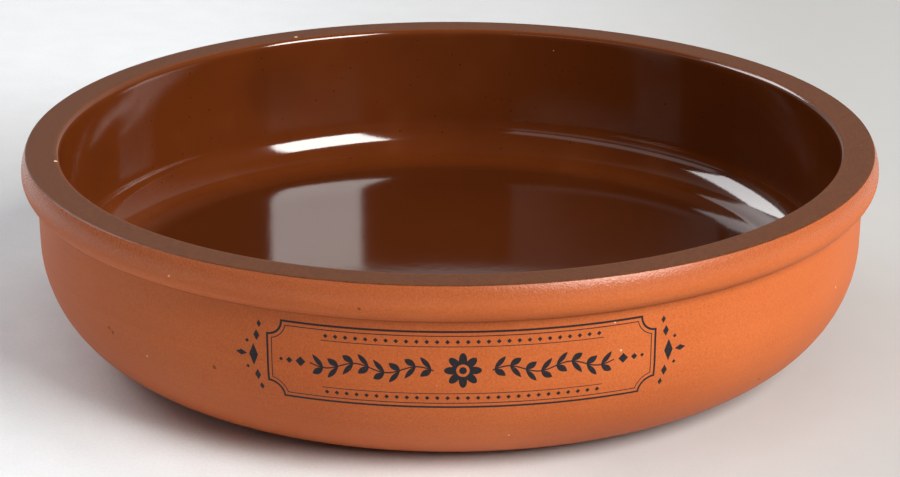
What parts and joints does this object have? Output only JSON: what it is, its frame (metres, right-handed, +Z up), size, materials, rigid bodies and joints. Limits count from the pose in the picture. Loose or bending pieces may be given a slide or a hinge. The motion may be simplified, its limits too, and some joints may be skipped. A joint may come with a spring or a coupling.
{
  "type": "serving dish",
  "caption": "Round flat-bottomed serving dish of unglazed terracotta with a glazed inside, a wide flat rim and a rolled band round it.",
  "frame": {"origin": "middle of the circle that the dish stands on, at the height of the surface under it", "axes": "+Z up along the turning axis, +X and +Y anywhere in the standing plane; the printed panel faces -Y"},
  "size_m": [0.3, 0.3, 0.071],
  "materials": {
    "fired_clay": "matte"
  },
  "bodies": {
    "root": {"serving_dish": "fired_clay"}
  },
  "joints": []
}
